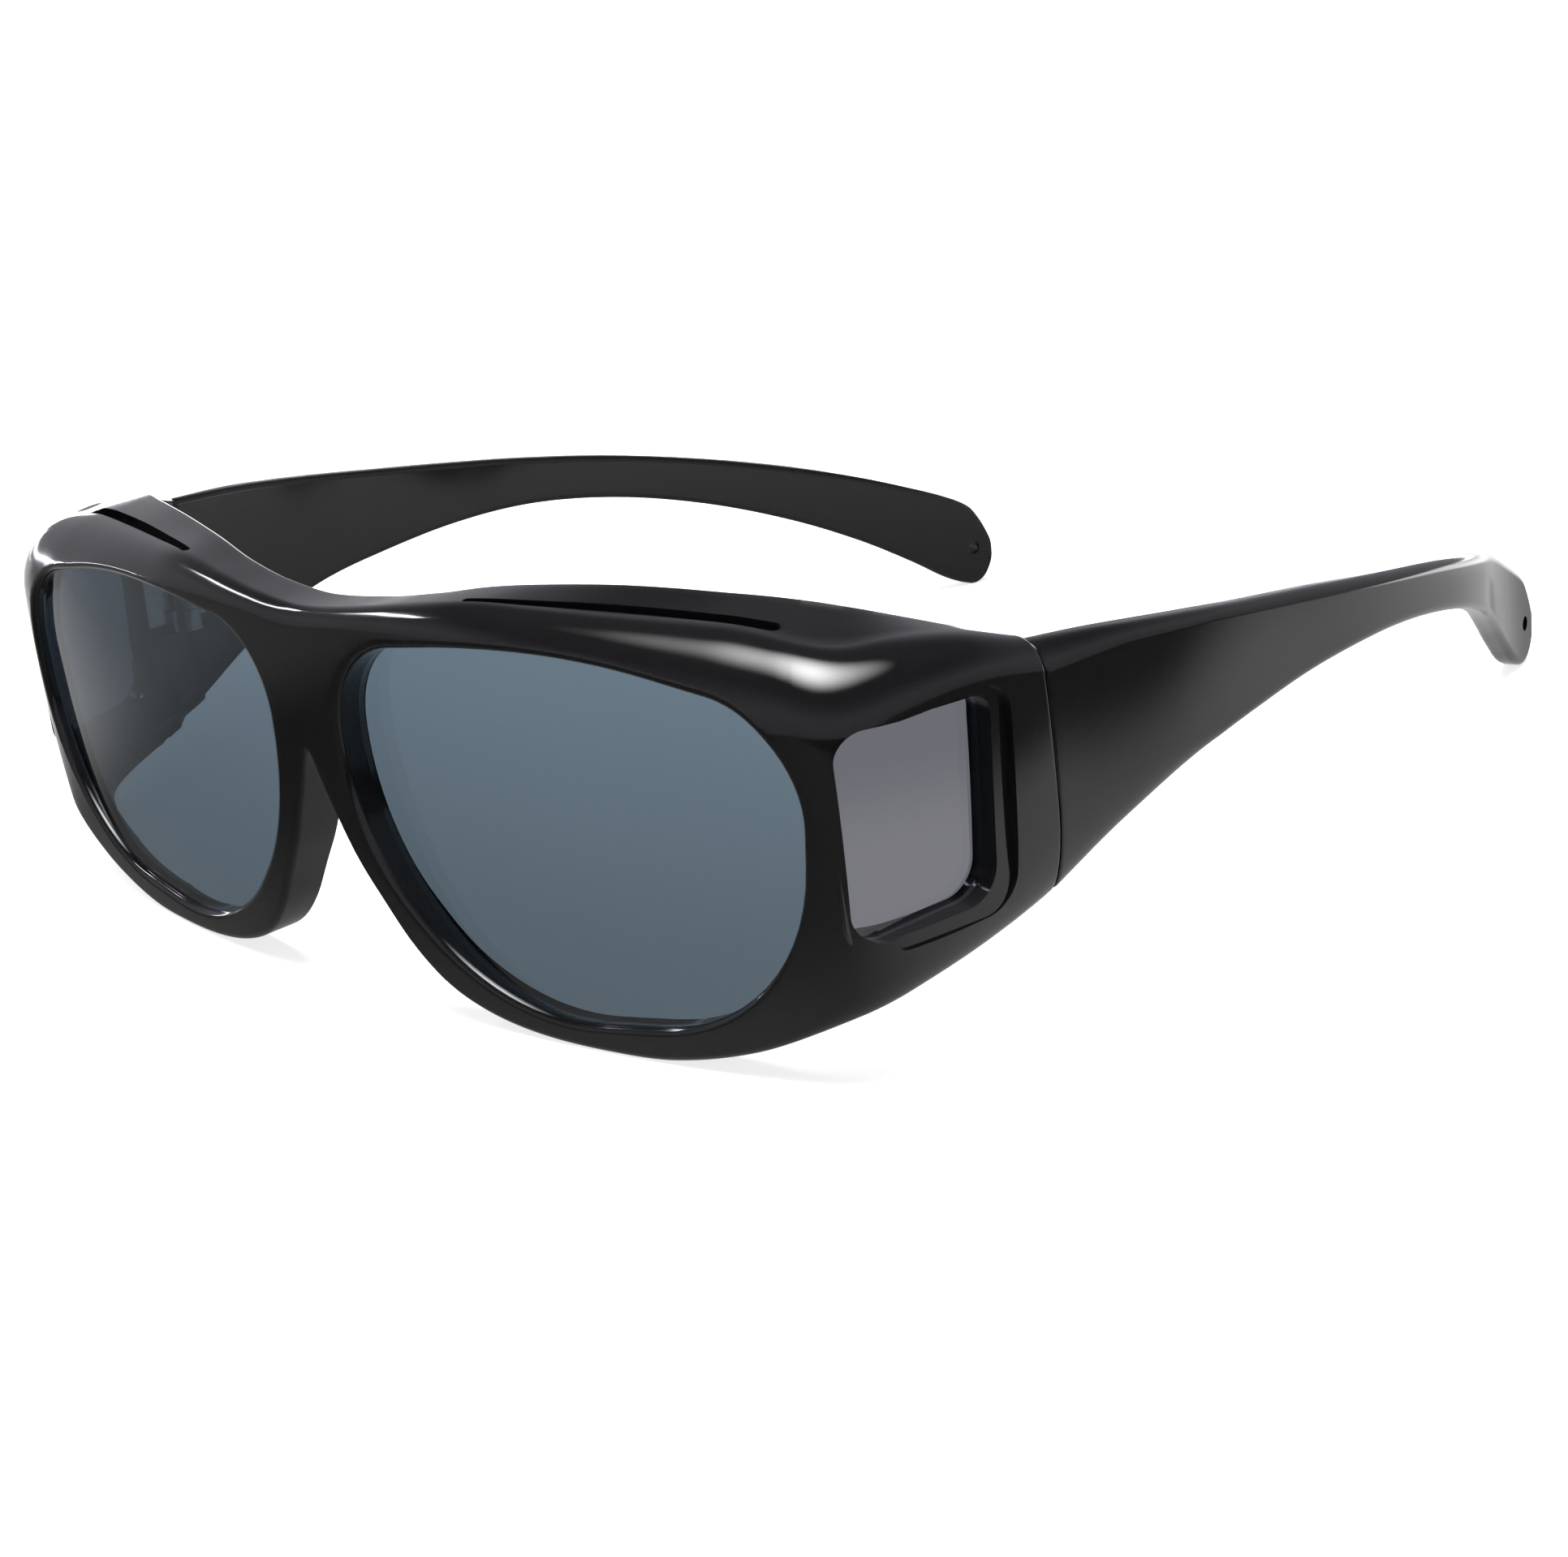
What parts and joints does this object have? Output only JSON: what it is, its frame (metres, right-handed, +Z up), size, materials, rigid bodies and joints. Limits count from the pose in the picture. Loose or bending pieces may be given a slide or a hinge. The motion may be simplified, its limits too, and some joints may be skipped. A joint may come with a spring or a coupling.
{
  "type": "night driving glasses",
  "caption": "Fit-over wrap glasses with tinted front lenses, a side window in each end of the wrap, vented brow and folding temples with a small lanyard hole in each ear piece.",
  "frame": {"origin": "on the table, under the middle of the overall box, with the glasses standing on both rims and both temple tips", "axes": "+X to the wearer's left, +Y from the front towards the temple tips, +Z up; the front faces -Y"},
  "size_m": [0.1526, 0.1708, 0.0489],
  "materials": {
    "frame_plastic": "gloss black moulding",
    "lens_tint": "clear grey tint, polished",
    "side_tint": "clear grey tint, polished",
    "hinge_metal": "satin"
  },
  "bodies": {
    "front": {"front_frame": "frame_plastic", "lens_left": "lens_tint", "lens_right": "lens_tint", "side_lens_left": "side_tint", "side_lens_right": "side_tint", "frame_hinge_leaf_left": "hinge_metal", "frame_hinge_leaf_right": "hinge_metal", "hinge_screw_left": "hinge_metal", "hinge_screw_right": "hinge_metal"},
    "left_temple": {"temple_left": "frame_plastic", "temple_hinge_leaf_left": "hinge_metal"},
    "right_temple": {"temple_right": "frame_plastic", "temple_hinge_leaf_right": "hinge_metal"}
  },
  "joints": [
    {"name": "left_temple_fold", "type": "hinge", "parent": "front", "child": "left_temple", "pos_m": [0.0702, -0.04869, 0.029], "axis": [0, 0, 1], "range_deg": [0, 84]},
    {"name": "right_temple_fold", "type": "hinge", "parent": "front", "child": "right_temple", "pos_m": [-0.0702, -0.04869, 0.029], "axis": [0, 0, -1], "range_deg": [0, 78]}
  ]
}
